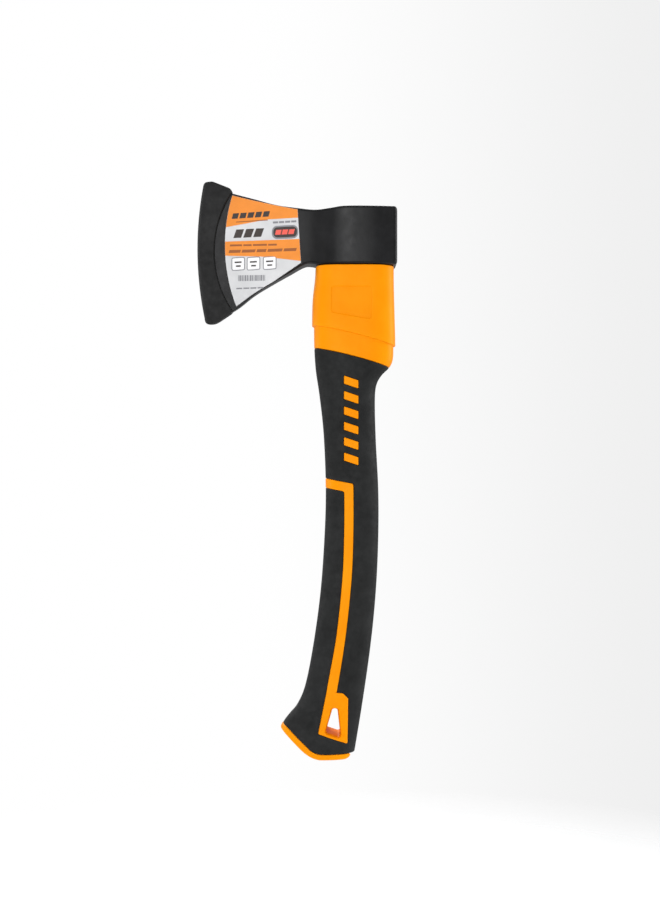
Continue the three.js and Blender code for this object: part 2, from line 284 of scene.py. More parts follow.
def settle(piece, node, body="axe"):
    """Lets a piece stand for a CAD node by hiding the node, and rides the piece on its body."""
    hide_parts(node)
    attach(piece, body)


def finish_shading(mesh, sharp):
    mesh.polygons.foreach_set("use_smooth", np.ones(len(mesh.polygons), bool))
    mesh.set_sharp_from_angle(angle=math.radians(sharp))
    mesh.update()


def cut(obj, cutter, sharp, operation="DIFFERENCE"):
    """Cuts obj with cutter, keeps the result as obj's own mesh and drops the cutter."""
    mod = obj.modifiers.new("cut", "BOOLEAN")
    mod.operation = operation
    mod.solver = "EXACT"
    mod.object = cutter
    bpy.context.view_layer.update()
    graph = bpy.context.evaluated_depsgraph_get()
    result = bpy.data.meshes.new_from_object(obj.evaluated_get(graph))
    obj.modifiers.clear()
    old = obj.data
    obj.data = result
    bpy.data.meshes.remove(old)
    bpy.data.objects.remove(cutter)
    finish_shading(result, sharp)


# ---- materials


def add_node(tree, kind, **inputs):
    """A node with its inputs linked or set."""
    n = tree.nodes.new(kind)
    for key, value in inputs.items():
        socket = n.inputs[key.replace("_", " ")]
        if isinstance(value, bpy.types.NodeSocket):
            tree.links.new(value, socket)
        else:
            socket.default_value = value
    return n


def add_ramp(tree, value, low, high, a, b):
    """A node that gives a below low, b above high and goes straight between."""
    ends = {"From_Min": low, "From_Max": high, "To_Min": a, "To_Max": b}
    return add_node(tree, "ShaderNodeMapRange", Value=value, **ends)


class Shader:
    """A Principled material with short calls for the nodes that feed it."""

    def __init__(self, name, color, roughness, metallic=0.0, specular=0.5):
        self.material = bpy.data.materials.new(name)
        self.material.use_nodes = True
        self.tree = self.material.node_tree
        self.out = self.tree.nodes["Principled BSDF"]
        base = {"Base Color": (*color, 1), "Roughness": roughness, "Metallic": metallic}
        for key, value in {**base, "Specular IOR Level": specular}.items():
            self.out.inputs[key].default_value = value
        self.place = self.tree.nodes.new("ShaderNodeTexCoord").outputs["Object"]
        self.bumped = None

    def node(self, kind, **inputs):
        return add_node(self.tree, kind, **inputs)

    def link(self, value, key):
        self.tree.links.new(value, self.out.inputs[key])
        return self

    def noise(self, scale, detail=3.0, stretch=(1, 1, 1)):
        at = self.node("ShaderNodeMapping", Vector=self.place, Scale=stretch).outputs["Vector"]
        kind = "ShaderNodeTexNoise"
        n = self.node(kind, Vector=at, Scale=scale, Detail=detail, Roughness=0.55)
        return n.outputs["Fac"]

    def ramp(self, *args):
        return add_ramp(self.tree, *args).outputs["Result"]

    def edge_highlight_and_polish(self, value, lift):
        """The value, raised along convex edges: fed into a colour it paints a highlight where
        light catches the edges, fed into a roughness it makes the edges glossier.
        """
        edge = self.node("ShaderNodeNewGeometry").outputs["Pointiness"]
        total = self.tree.nodes.new("ShaderNodeMath")
        self.tree.links.new(value, total.inputs[0])
        self.tree.links.new(self.ramp(edge, 0.51, 0.62, 0.0, lift), total.inputs[1])
        return total.outputs["Value"]

    def color(self, value, low, high, dark, light):
        """Mixes two colours as value goes from low to high."""
        n = self.tree.nodes.new("ShaderNodeMix")
        n.data_type = "RGBA"
        self.tree.links.new(self.ramp(value, low, high, 0.0, 1.0), n.inputs["Factor"])
        n.inputs["A"].default_value = (*dark, 1)
        n.inputs["B"].default_value = (*light, 1)
        return self.link(n.outputs["Result"], "Base Color")

    def rough(self, *args):
        return self.link(self.ramp(*args), "Roughness")

    def bump(self, height, distance, strength):
        n = self.node("ShaderNodeBump", Height=height, Distance=distance, Strength=strength)
        if self.bumped is not None:
            self.tree.links.new(self.bumped, n.inputs["Normal"])
        self.bumped = n.outputs["Normal"]
        return self.link(self.bumped, "Normal")


def srgb(r, g, b):
    """Eight-bit sRGB as linear light."""
    c = np.array([r, g, b]) / 255
    return tuple(np.where(c <= 0.04045, c / 12.92, ((c + 0.055) / 1.055) ** 2.4).tolist())


def lacquer():
    s = Shader("head_lacquer", srgb(21, 21, 22), 0.42, specular=0.18)
    broad, fine = s.noise(60), s.noise(900, 4)
    # Random mottle in the lacquer, plus a painted highlight that lightens the colour along convex
    # edges.
    s.color(s.edge_highlight_and_polish(broad, 0.9), 0.35, 1.2, srgb(15, 15, 16), srgb(38, 38, 40))
    s.rough(s.edge_highlight_and_polish(s.noise(220, 4), 0.4), 0.7, 0.3, 0.3, 0.42)
    return s.bump(broad, 0.00025, 0.5).bump(fine, 0.00003, 0.5).material


def ground_steel():
    s = Shader("ground_steel", srgb(176, 178, 180), 0.28, metallic=1.0)
    streaks = s.noise(420, 4, stretch=(0.06, 1, 12))
    s.color(streaks, 0.3, 0.7, srgb(164, 166, 169), srgb(190, 191, 193))
    s.rough(streaks, 0.3, 0.7, 0.27, 0.38)
    return s.bump(streaks, 0.00001, 0.5).material


def orange_plastic():
    s = Shader("orange_polypropylene", srgb(246, 145, 0), 0.42, specular=0.16)
    # Random tone in the plastic, plus a painted highlight that lightens the colour along convex
    # edges.
    s.color(s.edge_highlight_and_polish(s.noise(35), 0.6), 0.35, 1.0, srgb(243, 141, 0), srgb(250, 156, 14))
    s.out.inputs["Specular Tint"].default_value = (1, 0.7, 0.25, 1)
    s.rough(s.noise(400, 3), 0.3, 0.7, 0.38, 0.5)
    return s.bump(s.noise(1400, 3), 0.00002, 0.5).material


def soft_black():
    s = Shader("grip_elastomer", srgb(30, 31, 31), 0.7, specular=0.25)
    # Random tone in the elastomer, plus a painted highlight that lightens the colour along convex
    # edges.
    s.color(s.edge_highlight_and_polish(s.noise(70), 0.8), 0.35, 1.1, srgb(18, 19, 19), srgb(40, 41, 41))
    s.rough(s.noise(300, 3), 0.3, 0.7, 0.62, 0.8)
    return s.bump(s.noise(1900, 2), 0.00008, 0.7).material


def guard_black():
    s = Shader("guard_elastomer", srgb(30, 30, 30), 0.6, specular=0.2)
    # Random tone in the rubber, plus a painted highlight that lightens the colour along convex
    # edges.
    s.color(s.edge_highlight_and_polish(s.noise(50), 0.8), 0.35, 1.1, srgb(24, 24, 24), srgb(46, 46, 46))
    s.rough(s.noise(260, 3), 0.3, 0.7, 0.52, 0.72)
    return s.bump(s.noise(700, 4), 0.00008, 0.6).material


def print_ink(name, color):
    s = Shader(name, color, 0.35, specular=0.2)
    tint = tuple(min(1.0, c * 1.06 + 0.002) for c in color)
    s.color(s.noise(160, 2), 0.35, 0.7, color, tint)
    return s.bump(s.noise(500, 2), 0.00001, 0.4).material


def silver_film():
    s = Shader("label_silver", srgb(206, 206, 208), 0.5, metallic=0.1, specular=0.14)
    s.color(s.noise(60, 2), 0.3, 0.7, srgb(200, 200, 201), srgb(213, 213, 214))
    s.rough(s.noise(300, 2), 0.3, 0.7, 0.44, 0.56)
    return s.bump(s.noise(240, 2), 0.00002, 0.4).material


def glass_rod():
    s = Shader("fibreglass_rod", srgb(196, 190, 140), 0.5, specular=0.5)
    fibres = s.noise(1500, 2, stretch=(1, 1, 0.03))
    s.color(fibres, 0.35, 0.65, srgb(158, 150, 104), srgb(214, 208, 160))
    return s.bump(fibres, 0.00004, 0.6).material


def cast_resin():
    s = Shader("cast_epoxy", srgb(92, 62, 26), 0.22, specular=0.6)
    s.color(s.noise(140, 3), 0.35, 0.7, srgb(70, 45, 18), srgb(118, 82, 38))
    return s.bump(s.noise(180, 2), 0.0001, 0.4).material


def seal_black():
    s = Shader("seal_rubber", srgb(26, 26, 26), 0.8, specular=0.3)
    s.color(s.noise(300, 2), 0.35, 0.7, srgb(22, 22, 22), srgb(36, 36, 36))
    return s.bump(s.noise(900, 2), 0.00005, 0.5).material


LACQUER = lacquer()
STEEL = ground_steel()
ORANGE = orange_plastic()
SOFT = soft_black()
GUARD_RUBBER = guard_black()

# ---- the handle's form

handle_front = profile([
    (-370, -52), (-345, -49.2), (-340, -47.6), (-336, -45.2), (-332, -42), (-326, -37.2),
    (-314, -32.2), (-290, -27.3), (-256, -22.5), (-222, -19.8), (-187, -18.6),
    (-150, -19.9), (-124, -22.6), (-106, -25.2), (-90, -26.2), (-75, -26.3), (-60, -25.9),
    (-45, -24.3), (-30, -23.7),
])
handle_back = profile([
    (-370, -1.9), (-330, 4.8), (-290, 10.6), (-256, 14.1), (-222, 15.9), (-187, 16.1),
    (-152, 14.4), (-127, 13.8), (-116, 14.8), (-109.5, 18.3), (-104, 23.6), (-98, 25.7),
    (-86, 25.8), (-70, 25.4), (-50, 24.9), (-30, 24.8),
])
handle_half = profile([
    (-370, 13.6), (-345, 13), (-316, 12.2), (-256, 11.8), (-190, 12), (-130, 12),
    (-108, 13), (-90, 14), (-60, 14), (-30, 13.7),
])
handle_power = profile([(-370, 2.6), (-250, 2.5), (-125, 2.6), (-90, 3.4), (-30, 3.6)])


def signed_power(v, power):
    return np.sign(v) * np.abs(v) ** power


def half_section():
    """Angles round half a typical section, the share of its length at each, and the
    whole length."""
    half_x, half_y, power = 19, 12.5, 2.8
    angle = np.linspace(0, np.pi, 721)
    x = half_x * signed_power(np.cos(angle), 2 / power)
    y = half_y * np.sin(angle) ** (2 / power)
    run = np.concatenate([[0], np.cumsum(np.hypot(np.diff(x), np.diff(y)))])
    return angle, run / run[-1], run[-1]


ANGLE, ARC, HALF_GIRTH = half_section()


def section_x(z, u):
    """x of the outer form at height z and share u of the way from back to front."""
    front, back = handle_front(z), handle_back(z)
    c = np.cos(np.interp(u, ARC, ANGLE))
    return (front + back) / 2 + (back - front) / 2 * signed_power(c, 2 / handle_power(z))


def share_at(z, x):
    """The share u whose x is nearest to the one given."""
    front, back = handle_front(z), handle_back(z)
    v = np.clip((x - (front + back) / 2) / ((back - front) / 2), -1, 1)
    return np.interp(np.arccos(signed_power(v, handle_power(z) / 2)), ANGLE, ARC)


def handle_points(z, u, depth):
    """Points on the near side of the handle (negative y), sunk by depth."""
    a = np.interp(u, ARC, ANGLE)
    p, half_x, half_y = handle_power(z), (handle_back(z) - handle_front(z)) / 2, handle_half(z)
    c, s = np.cos(a), np.abs(np.sin(a))
    nx = signed_power(c, 2 - 2 / p) / half_x
    ny = s ** (2 - 2 / p) / half_y
    size = np.hypot(nx, ny)
    y = half_y * s ** (2 / p)
    return np.stack([section_x(z, u) - depth * nx / size, depth * ny / size - y, z], -1)


NEAR = (0.0, 0.12, 0.3, 0.6, 1.0)  # close spacing beside a feature's edge
REACH = NEAR[-1]


def layout(counts, close):
    """Places along a run of spans: (span, share, offset). Beside each key marked close
    the places stand at the NEAR offsets, and evenly between."""
    out = []
    for k, count in enumerate(counts):
        start, end = close[k], close[k + 1]
        if start:
            out += [(k, 0.0, d) for d in NEAR]
        else:
            out.append((k, 0.0, 0.0))
        for i in range(1, count):
            f = i / count
            out.append((k, f, (1 - f) * REACH * start - f * REACH * end))
        if end:
            out += [(k, 1.0, -d) for d in NEAR[:0:-1]]
    out.append((len(counts) - 1, 1.0, 0.0))
    return np.array(out)


def place(low, high, share, offset):
    """A share of the way from low to high plus an offset, squeezed where they're close."""
    squeeze = np.clip(np.abs(high - low) / (2.4 * REACH), 0, 1)
    return low + share * (high - low) + offset * squeeze * np.sign(high - low)


def handle_grid(row_keys, row_counts, col_keys, col_counts):
    """z and u of a grid on the near side whose rows follow the row keys (z as functions
    of x, from the top down) and whose columns follow the column keys (x of z)."""
    rows = layout(row_counts, [True] * len(row_keys))
    cols = layout(col_counts, [False] + [True] * len(col_keys) + [False])
    z = np.array([[float(row_keys[int(k)](0.0))] for k, _, _ in rows]) + np.zeros(len(cols))
    for _ in range(14):  # rows and columns depend on each other
        keys = [np.zeros_like(z)] + [share_at(z, f(z)) for f in col_keys] + [np.ones_like(z)]
        u = np.empty_like(z)
        for j, (k, f, d) in enumerate(cols):
            low, high = keys[int(k)][:, j] * HALF_GIRTH, keys[int(k) + 1][:, j] * HALF_GIRTH
            u[:, j] = place(low, high, f, d) / HALF_GIRTH
        x = section_x(z, u)
        target = np.empty_like(z)
        for i, (k, f, d) in enumerate(rows):
            low, high = row_keys[int(k)](x[i]), row_keys[int(k) + 1](x[i])
            target[i] = place(low, high, f, d)
        z = (z + target) / 2
    return z, u


def closed_ring(near):
    """Joins near-side rows (rows, columns, 3) to their mirror image as whole rings."""
    near[:, [0, -1], 1] = 0
    return np.concatenate([near, near[:, -2:0:-1] * (1, -1, 1)], 1)


# ---- outlines on the handle

parting = line_fn(
    [(-90, -91.4), (-29.1, -91.4)], bezier((-29, -91.4), (0, -96.3), (29, -106.4)), [(90, -106.4)]
)
band = line_fn(
    [(-90, -77.2), (-29.1, -77.2)], bezier((-29, -77.2), (0, -82), (29, -92)), [(90, -92)]
)
RIM_TOP = SEAM_Z - 0.3
seam = line_fn(
    [(-90, -338.2)],
    bezier((-48.4, -338.2), (-46, -338.2), (-42.5, -341.0), 8),
    bezier((-30.5, -352.3), (-26.5, RIM_TOP), (-20, RIM_TOP)),
    [(90, RIM_TOP)],
)
butt = line_fn(
    [(-90, -300.9)],
    bezier((-35.5, -353.2), (-28, BUTT_Z), (-21, BUTT_Z)),
    bezier((-7.5, BUTT_Z), (-2.8, BUTT_Z), (-2.3, RIM_TOP - 0.4)),
    [(90, RIM_TOP - 0.4)],
)

MARKS, MARK_PITCH, MARK_FIRST, MARK_X = 6, 10, -114.5, -2
MARK_LENGTH, MARK_HEIGHT, MARK_SLANT, MARK_ROUND = 9.6, 5.4, 1.6, 0.5


def mark_outline(i):
    z, hx, hz = MARK_FIRST - i * MARK_PITCH, MARK_LENGTH / 2, MARK_HEIGHT / 2
    return [
        (MARK_X - hx, z + hz + MARK_SLANT), (MARK_X + hx, z + hz - MARK_SLANT),
        (MARK_X + hx, z - hz - MARK_SLANT), (MARK_X - hx, z - hz + MARK_SLANT),
    ]


STRIPE_HALF, STRIPE_TOP, STRIPE_CORNER, STRIPE_SLOPE, STRIPE_END = 3.1, -180, -4, -0.18, -318
STRIPE_TURN = STRIPE_TOP - 2 * STRIPE_HALF
stripe_middle = profile([
    (-322, -15.4), (-282, -8.9), (-243, -4.8), (-213, -3.6), (-178, -3.5),
])
EYELET = [(-18.1, -316), (-7.4, -316.9), (-3.8, -320.3), (-4.2, -350.3), (-23.6, -343.3)]
HOLE = [(-14.1, -327.2), (-11, -327.4), (-8.9, -346), (-18.6, -342.7)]
EYELET_TOP_SLOPE, EYELET_LOW_SLOPE, EYELET_ROUND = -0.084, -0.361, 0.8
HOLE_ROUND = 1.5
SPREAD, SPREAD_FROM, SPREAD_TO = 0.7, -275, -316  # of the stripe's left edge, downwards


def stripe_side(z, side):
    """x of the long arm's edge: 1 right, -1 left. The left one widens into the eyelet."""
    spread = SPREAD * smooth(-z, -SPREAD_FROM, -SPREAD_TO) * (side < 0)
    return stripe_middle(z) + side * STRIPE_HALF - spread


def stripe_line(z):
    """A line along the inlay's short arm, z high at its corner."""
    return slanted(STRIPE_CORNER, z, STRIPE_SLOPE)


def stripe_distance(x, z):
    """Signed distance to the inlay stripe: a short arm that turns down into a long one."""
    tilt = 1 / math.hypot(1, STRIPE_SLOPE)
    above = (z - stripe_line(STRIPE_TOP)(x)) * tilt
    below = (stripe_line(STRIPE_TURN)(x) - z) * tilt
    level_z = np.maximum(z, STRIPE_END - 2)
    right, left = x - stripe_side(level_z, 1), stripe_side(level_z, -1) - x
    corner, elbow = 1.2, 1.5
    outer = np.hypot(np.maximum(above + corner, 0), np.maximum(right + corner, 0)) - corner
    outer = np.where((above > -corner) & (right > -corner), outer, np.maximum(above, right))
    inner = elbow - np.hypot(np.maximum(elbow - below, 0), np.maximum(elbow - left, 0))
    inner = np.where((below < elbow) & (left < elbow), inner, np.minimum(below, left))
    return np.maximum(np.maximum(outer, inner), STRIPE_END - z)


def inlay_distance(x, z):
    """Signed distance to the jacket's windows in the grip, negative inside them."""
    d = np.minimum(stripe_distance(x, z), convex_distance(x, z, EYELET, EYELET_ROUND))
    for i in range(MARKS):
        d = np.minimum(d, convex_distance(x, z, mark_outline(i), MARK_ROUND))
    return d


def edge_line(side, eyelet_part, mark_x, panel_x):
    """x of a column of the grid: along the panel, the marks, the stripe and the eyelet."""
    stripe = [(z, stripe_side(z, side)) for z in range(-315, -187, 4)]
    upper = [(-172, mark_x), (-108, mark_x), (-90, panel_x), (-30, panel_x)]
    return line_fn([*eyelet_part, *stripe, *upper])


right_edge = edge_line(
    1, [(-362, -4.5), (-350.3, -4.2), (-320.3, -3.8), (-316.9, -7.4), (-316.3, -11.3)], 2.8, 11.2
)
left_edge = edge_line(-1, [(-362, -28), (-343.3, -23.6), (-316, -18.1)], -6.8, -14.8)


def mark_rows():
    slope = -2 * MARK_SLANT / MARK_LENGTH
    keys = []
    for i in range(MARKS):
        z = MARK_FIRST - i * MARK_PITCH
        keys += [slanted(MARK_X, z + s * MARK_HEIGHT / 2, slope) for s in (1, -1)]
    return keys


def inlay_rows():
    """Row keys from the first mark down to the eyelet's lower edge, and their counts."""
    keys = mark_rows() + [
        stripe_line(STRIPE_TOP),
        stripe_line(STRIPE_TURN),
        slanted(*EYELET[0], EYELET_TOP_SLOPE),
        slanted(*EYELET[4], EYELET_LOW_SLOPE),
    ]
    counts = [4] * (2 * MARKS - 1) + [8, 4, 120, 26]
    return keys, counts


# ---- grip and jacket

GRIP_WALL = 2.6
SEAM_GAP = 0.25  # the grip stops this far from the jacket's neck and rim
INLAY_GAP = 0.08  # each skin stops this far from an inlay's outline
INLAY_FALL = 0.15  # and falls away within this distance
CUT_MARGIN = 0.12  # the grip's windows are cut this far inside the inlay's outline
GRIP_COLUMNS, JACKET_COLUMNS = (30, 14, 24), (30, 18, 24)


def grip_piece():
    keys, counts = inlay_rows()
    keys = [lambda x: parting(x) - SEAM_GAP, *keys, lambda x: seam(x) + SEAM_GAP]
    z, u = handle_grid(keys, [14, *counts, 10], [right_edge, left_edge], GRIP_COLUMNS)
    x = section_x(z, u)
    d = inlay_distance(x, z) - INLAY_GAP
    depth = rolled(d, 0.6) + 1.7 * np.clip(-d / INLAY_FALL, 0, 1)
    depth = np.maximum(depth, rolled(parting(x) - SEAM_GAP - z, 0.7))
    depth = np.maximum(depth, rolled(z - seam(x) - SEAM_GAP, 0.4))
    outer = closed_ring(handle_points(z, u, depth))
    inner_rows = np.unique(np.linspace(0, len(z) - 1, 40).astype(int))
    inner = closed_ring(handle_points(z, u, np.full_like(z, GRIP_WALL))[inner_rows])
    skin = tube(np.concatenate([outer, inner[::-1]]), caps=False)
    grip = make("soft_grip", skin, [SOFT], sharp=50)
    cut(grip, stripe_cutter(), 50)
    cut(grip, window_cutter(), 50)
    settle(grip, "grip_sleeve")


def stripe_cutter():
    """Lets the stripe through the grip's wall, a hair inside its outline."""
    top, turn = STRIPE_TOP - CUT_MARGIN, STRIPE_TURN + CUT_MARGIN
    zs = np.linspace(turn - 2, STRIPE_END - 1, 60)
    right = [(stripe_side(z, 1) - CUT_MARGIN, z) for z in zs]
    left = [(stripe_side(z, -1) + CUT_MARGIN, z) for z in zs[::-1]]
    upper, lower = stripe_line(top), stripe_line(turn)
    corner = bezier((-2.2, upper(-2.2)), (right[0][0], upper(right[0][0])), right[0], 8)
    elbow = bezier(left[-1], (left[-1][0], lower(left[-1][0])), (-8.6, lower(-8.6)), 8)
    outline = [(-45, upper(-45)), *corner, *right[1:], *left[:-1], *elbow, (-45, lower(-45))]
    return make("stripe_cutter", prism([(-20, outline), (20, outline)]), [SOFT])


def window_cutter():
    """Lets the marks and the eyelet through the grip's wall."""
    outlines = [rounded_outline(EYELET, EYELET_ROUND, -CUT_MARGIN)]
    for i in range(MARKS):
        outlines.append(rounded_outline(mark_outline(i), MARK_ROUND, -CUT_MARGIN))
    return make("window_cutter", joined(prism([(-20, o), (20, o)]) for o in outlines), [SOFT])


PANEL = [(-14.8, -52.5), (11.2, -52.5), (11.2, -74), (-14.8, -69.5)]
BAND_RISE, PANEL_DEPTH, RIM_RISE = 1.3, 0.6, 0.35
DEEPEST = 3.0  # of the jacket under the grip


def jacket_depth(x, z):
    """How far the orange jacket lies under the handle's outer form."""
    under = parting(x) - z  # positive below the parting line
    raised = smooth(z - band(x), -0.1, 0.7)
    panel = smooth(convex_distance(x, z, PANEL, 2.0), 0.35, -0.35)
    neck = (PANEL_DEPTH * panel - BAND_RISE) * raised
    neck = neck + rolled(-under, 0.6) + rolled(NECK_TOP - z, 0.8)
    d = inlay_distance(x, z) + INLAY_GAP
    inlay = rolled(-d, 0.5) + 2.5 * np.clip(d / INLAY_FALL, 0, 1) - 0.05
    below = seam(x) - z
    rim = rolled(below, 0.6) + rolled(z - butt(x), 1.1)
    rim = rim - RIM_RISE + 3.3 * (1 - smooth(seam(x) - butt(x), 0.6, 1.8))
    depth = np.where(under < 0, neck, inlay)
    return np.minimum(np.where(below > 0, rim, depth), DEEPEST)


EYE_POWER, CORE_POWER = 2.3, 4  # how square the ovals are
TANG_HALF = (15.6, 7.2)
CORE_HALF = (CORE_HIGH[0], CORE_HIGH[1])
CORE_LEAN = (CORE_LOW[0] + CORE_HALF[0]) / CORE_LOW[2]


def oval_rings(steps, power, lean=0.0, count=96):
    """Rings of an upright superellipse from (z, half length, half width) steps. Each
    starts on the mirror plane."""
    turn = -np.arange(count) * 2 * np.pi / count
    c, s = signed_power(np.cos(turn), 2 / power), signed_power(np.sin(turn), 2 / power)
    s[[0, count // 2]] = 0
    return np.array([np.stack([x * c + lean * z, y * s, z + 0 * c], -1) for z, x, y in steps])


def rounded_top(half, radius, levels=5):
    """Steps of an oval's upper end, rounded off to z = 0."""
    turn = np.linspace(0, np.pi / 2, levels)
    inset, drop = radius * (1 - np.cos(turn)), radius * (1 - np.sin(turn))
    return [(-d, half[0] - i, half[1] - i) for d, i in zip(drop, inset)]


def jacket_piece():
    keys, counts = inlay_rows()
    panel_top, panel_low = slanted(*PANEL[0], 0), slanted(*PANEL[2], -0.173)
    keys = [slanted(0, NECK_TOP, 0), panel_top, panel_low, band, parting, *keys, seam, butt]
    counts = [8, 16, 6, 10, 14, *counts, 10, 5]
    z, u = handle_grid(keys, counts, [right_edge, left_edge], JACKET_COLUMNS)
    skin = tube(closed_ring(handle_points(z, u, jacket_depth(section_x(z, u), z))))
    jacket = make("orange_jacket", skin, [ORANGE], sharp=50)
    steps = [(NECK_TOP - 2, *TANG_HALF), (NECK_TOP + 4, *TANG_HALF), *rounded_top(TANG_HALF, 0.5)]
    cut(jacket, make("tang", tube(oval_rings(steps, EYE_POWER)), [ORANGE]), 50, "UNION")
    cut(jacket, hole_cutter(), 50)
    cut(jacket, core_cutter(), 50)
    settle(jacket, "handle_jacket")


def hole_cutter():
    """The lanyard hole, opening out at both faces of the eyelet."""
    steps = ((8.4, 0), (9.6, 0.1), (10.6, 0.32), (11.4, 0.62), (12, 0.95), (12.5, 1.35), (14, 3.6))
    both = [(-y, grow) for y, grow in reversed(steps)] + list(steps)
    sections = [(y, rounded_outline(HOLE, HOLE_ROUND, grow)) for y, grow in both]
    return make("hole_cutter", prism(sections), [ORANGE])


BORE_GAP = 0.3


def core_cutter():
    """The bore that the glass-fibre core sits in."""
    half = [h + BORE_GAP for h in CORE_HALF]
    steps = [(CORE_LOW[2] - BORE_GAP, *half), (-60, *half), (4, *half)]
    return make("core_cutter", tube(oval_rings(steps, CORE_POWER, CORE_LEAN)), [ORANGE])


def core_piece():
    """The glass-fibre rod; its sawn end shows in the crown."""
    steps = [(z, *CORE_HALF) for z in (CORE_LOW[2], -240, -180, -120, -60)]
    rings = oval_rings(steps + rounded_top(CORE_HALF, 0.25), CORE_POWER, CORE_LEAN)
    core = make("glass_fibre_rod", tube(rings), [glass_rod()])
    settle(core, "fibreglass_core")


def resin_piece():
    """Resin cast round the tang: it creeps up both walls and sinks between them."""
    outer, inner = EYE_TOP_HALF - 0.3, np.array(TANG_HALF) + 0.3
    steps = [(RESIN_LOW, *(EYE_LOW_HALF - 0.2))]
    for share in np.linspace(0, 1, 9):
        sink = 0.35 + 0.5 * 4 * share * (1 - share)
        steps.append((-sink, *(outer + share * (inner - outer))))
    steps.append((RESIN_LOW, *inner))
    skin = tube(oval_rings(steps, EYE_POWER), caps=False)
    resin = make("resin_fill", skin, [cast_resin()], sharp=60)
    settle(resin, "eye_resin")


def seal_piece():
    """The rubber cord laid round the tang under the resin."""
    low, high = box_mm("eye_seal_ring")
    inner = np.array(TANG_HALF) + 0.2
    middle, thick = (high[:2] + inner) / 2, (high[:2] - inner) / 2
    steps = []
    for turn in np.linspace(0, 2 * np.pi, 24, endpoint=False):
        out, up = signed_power(np.array([math.cos(turn), math.sin(turn)]), 0.7)
        z = (low[2] + high[2]) / 2 + up * (high[2] - low[2]) / 2
        steps.append((z, *(middle + out * thick)))
    skin = tube(oval_rings(steps, EYE_POWER), caps=False)
    seal = make("seal_cord", skin, [seal_black()], sharp=60)
    settle(seal, "eye_seal_ring")


# ---- the head

EDGE_RADIUS, EDGE_MID_Z = 225, -26  # the cutting edge's bow
EDGE_HALF, BEVEL = 0.15, 8  # half thickness of the edge, and the ground strip behind it
STRAIGHT_X = -40  # behind this the sections stand upright
HEEL_X = -34  # where the blade's lower edge meets the underside of the eye
POLL_ROUND, BLADE_FILLET, EYE_FILLET = 2.2, 0.8, 2.0
GROUND_SPANS = 8

head_top = profile([
    (-106, 15.8), (-97, 14), (-80, 9.6), (-66, 6), (-52, 2.2), (-38, 0), (-26, -1.6),
    (-17, -1.1), (-8, -0.1), (0, 0), (14, 0), (POLL_X + 4, 0),
])
head_bottom = profile([
    (-106, -74), (-97, -73), (-90, -71.2), (-78, -65), (-66, -56.6), (-54, -49.5),
    (-42, -42.7), (-33, -37.6), (-28, -37), (-22, -38), (-12, -38), (POLL_X + 4, -38),
])
head_half = profile([
    (-106, 1.1), (-92, 1.8), (-80, 2.8), (-62, 4.7), (-44, 6.9), (-30, 9.1), (-20, 11.7),
    (-12, 14.1), (-5, 15.3), (2, 15.5), (13, 15), (24, 13.4), (POLL_X + 4, 12.4),
])


def bow(z):
    """How far the bowed cutting edge lies behind its foremost point."""
    return arc_dip(z, EDGE_MID_Z, EDGE_RADIUS)


def half_at(x):
    """Half the head's thickness at a station along it."""
    end = EDGE_X + BEVEL
    ground = EDGE_HALF + (x - EDGE_X) * (head_half(end) - EDGE_HALF) / BEVEL
    return np.where(x < end, ground, head_half(x))


def bent(x, z):
    """x of a station at height z: the sections follow the edge's bow near the edge."""
    return x + bow(z) * (1 - smooth(x, EDGE_X, STRAIGHT_X))


def blade_rings(xs, grow, corners, rows=72, flat=5, arc=8):
    """Rounded upright sections at stations along the head, grown by so much all round.
    Each starts at the top on the mirror plane."""
    rings = []
    for x, more, corner in np.broadcast(xs, grow, corners):
        half, top, bottom = half_at(x) + more, head_top(x) + more, head_bottom(x) - more
        r = min(corner, 0.6 * half)
        high, low, side = top - r, bottom + r, r - half
        q = np.linspace(0, np.pi / 2, arc + 1)
        y = np.concatenate([
            np.linspace(0, side, flat + 1)[:-1],
            side - r * np.sin(q),
            np.full(rows - 1, -half),
            side - r * np.cos(q),
            np.linspace(side, 0, flat + 1)[1:],
        ])
        z = np.concatenate([
            np.full(flat, top),
            high + r * np.cos(q),
            np.linspace(high, low, rows + 1)[1:-1],
            low - r * np.sin(q),
            np.full(flat, bottom),
        ])
        rings.append(np.stack([bent(x, z), y, z], -1))
    return closed_ring(np.array(rings))


EYE_LOW_HALF, EYE_TOP_HALF, EYE_HEIGHT = np.array([17, 8.4]), np.array([18.2, 9.6]), 38


def eye_cutter():
    """The eye, flaring upwards, with a bevelled mouth at each end."""
    steps = []
    for z, grow in ((-40, 2.9), (-37.2, 0.0), (-0.9, 0.0), (2, 2.9)):
        flare = (EYE_TOP_HALF - EYE_LOW_HALF) * (1 + z / EYE_HEIGHT)
        steps.append((z, *(EYE_LOW_HALF + flare + grow)))
    return make("eye_cutter", tube(oval_rings(steps, EYE_POWER)), [LACQUER])


def head_piece():
    """The head as upright sections from the edge to the poll, with the eye cut out."""
    xs = np.concatenate([
        np.linspace(EDGE_X, EDGE_X + BEVEL, GROUND_SPANS + 1)[:-1],
        np.linspace(EDGE_X + BEVEL, HEEL_X, 60)[:-1],
        np.linspace(HEEL_X, POLL_X - POLL_ROUND, 76),
        POLL_X - POLL_ROUND + POLL_ROUND * np.sin(np.linspace(0, np.pi / 2, 10))[1:],
    ])
    fillets = BLADE_FILLET + (EYE_FILLET - BLADE_FILLET) * smooth(xs, -60, HEEL_X)
    rings = blade_rings(xs, -rolled(POLL_X - xs, POLL_ROUND), fillets)
    skin = tube(rings, flat=5)
    ground = [min(f) // rings.shape[1] < GROUND_SPANS for f in skin[1]]
    head = make("forged_head", skin, [LACQUER, STEEL], ground, sharp=40)
    cut(head, eye_cutter(), 40)
    settle(head, "axe_head")


# ---- the label


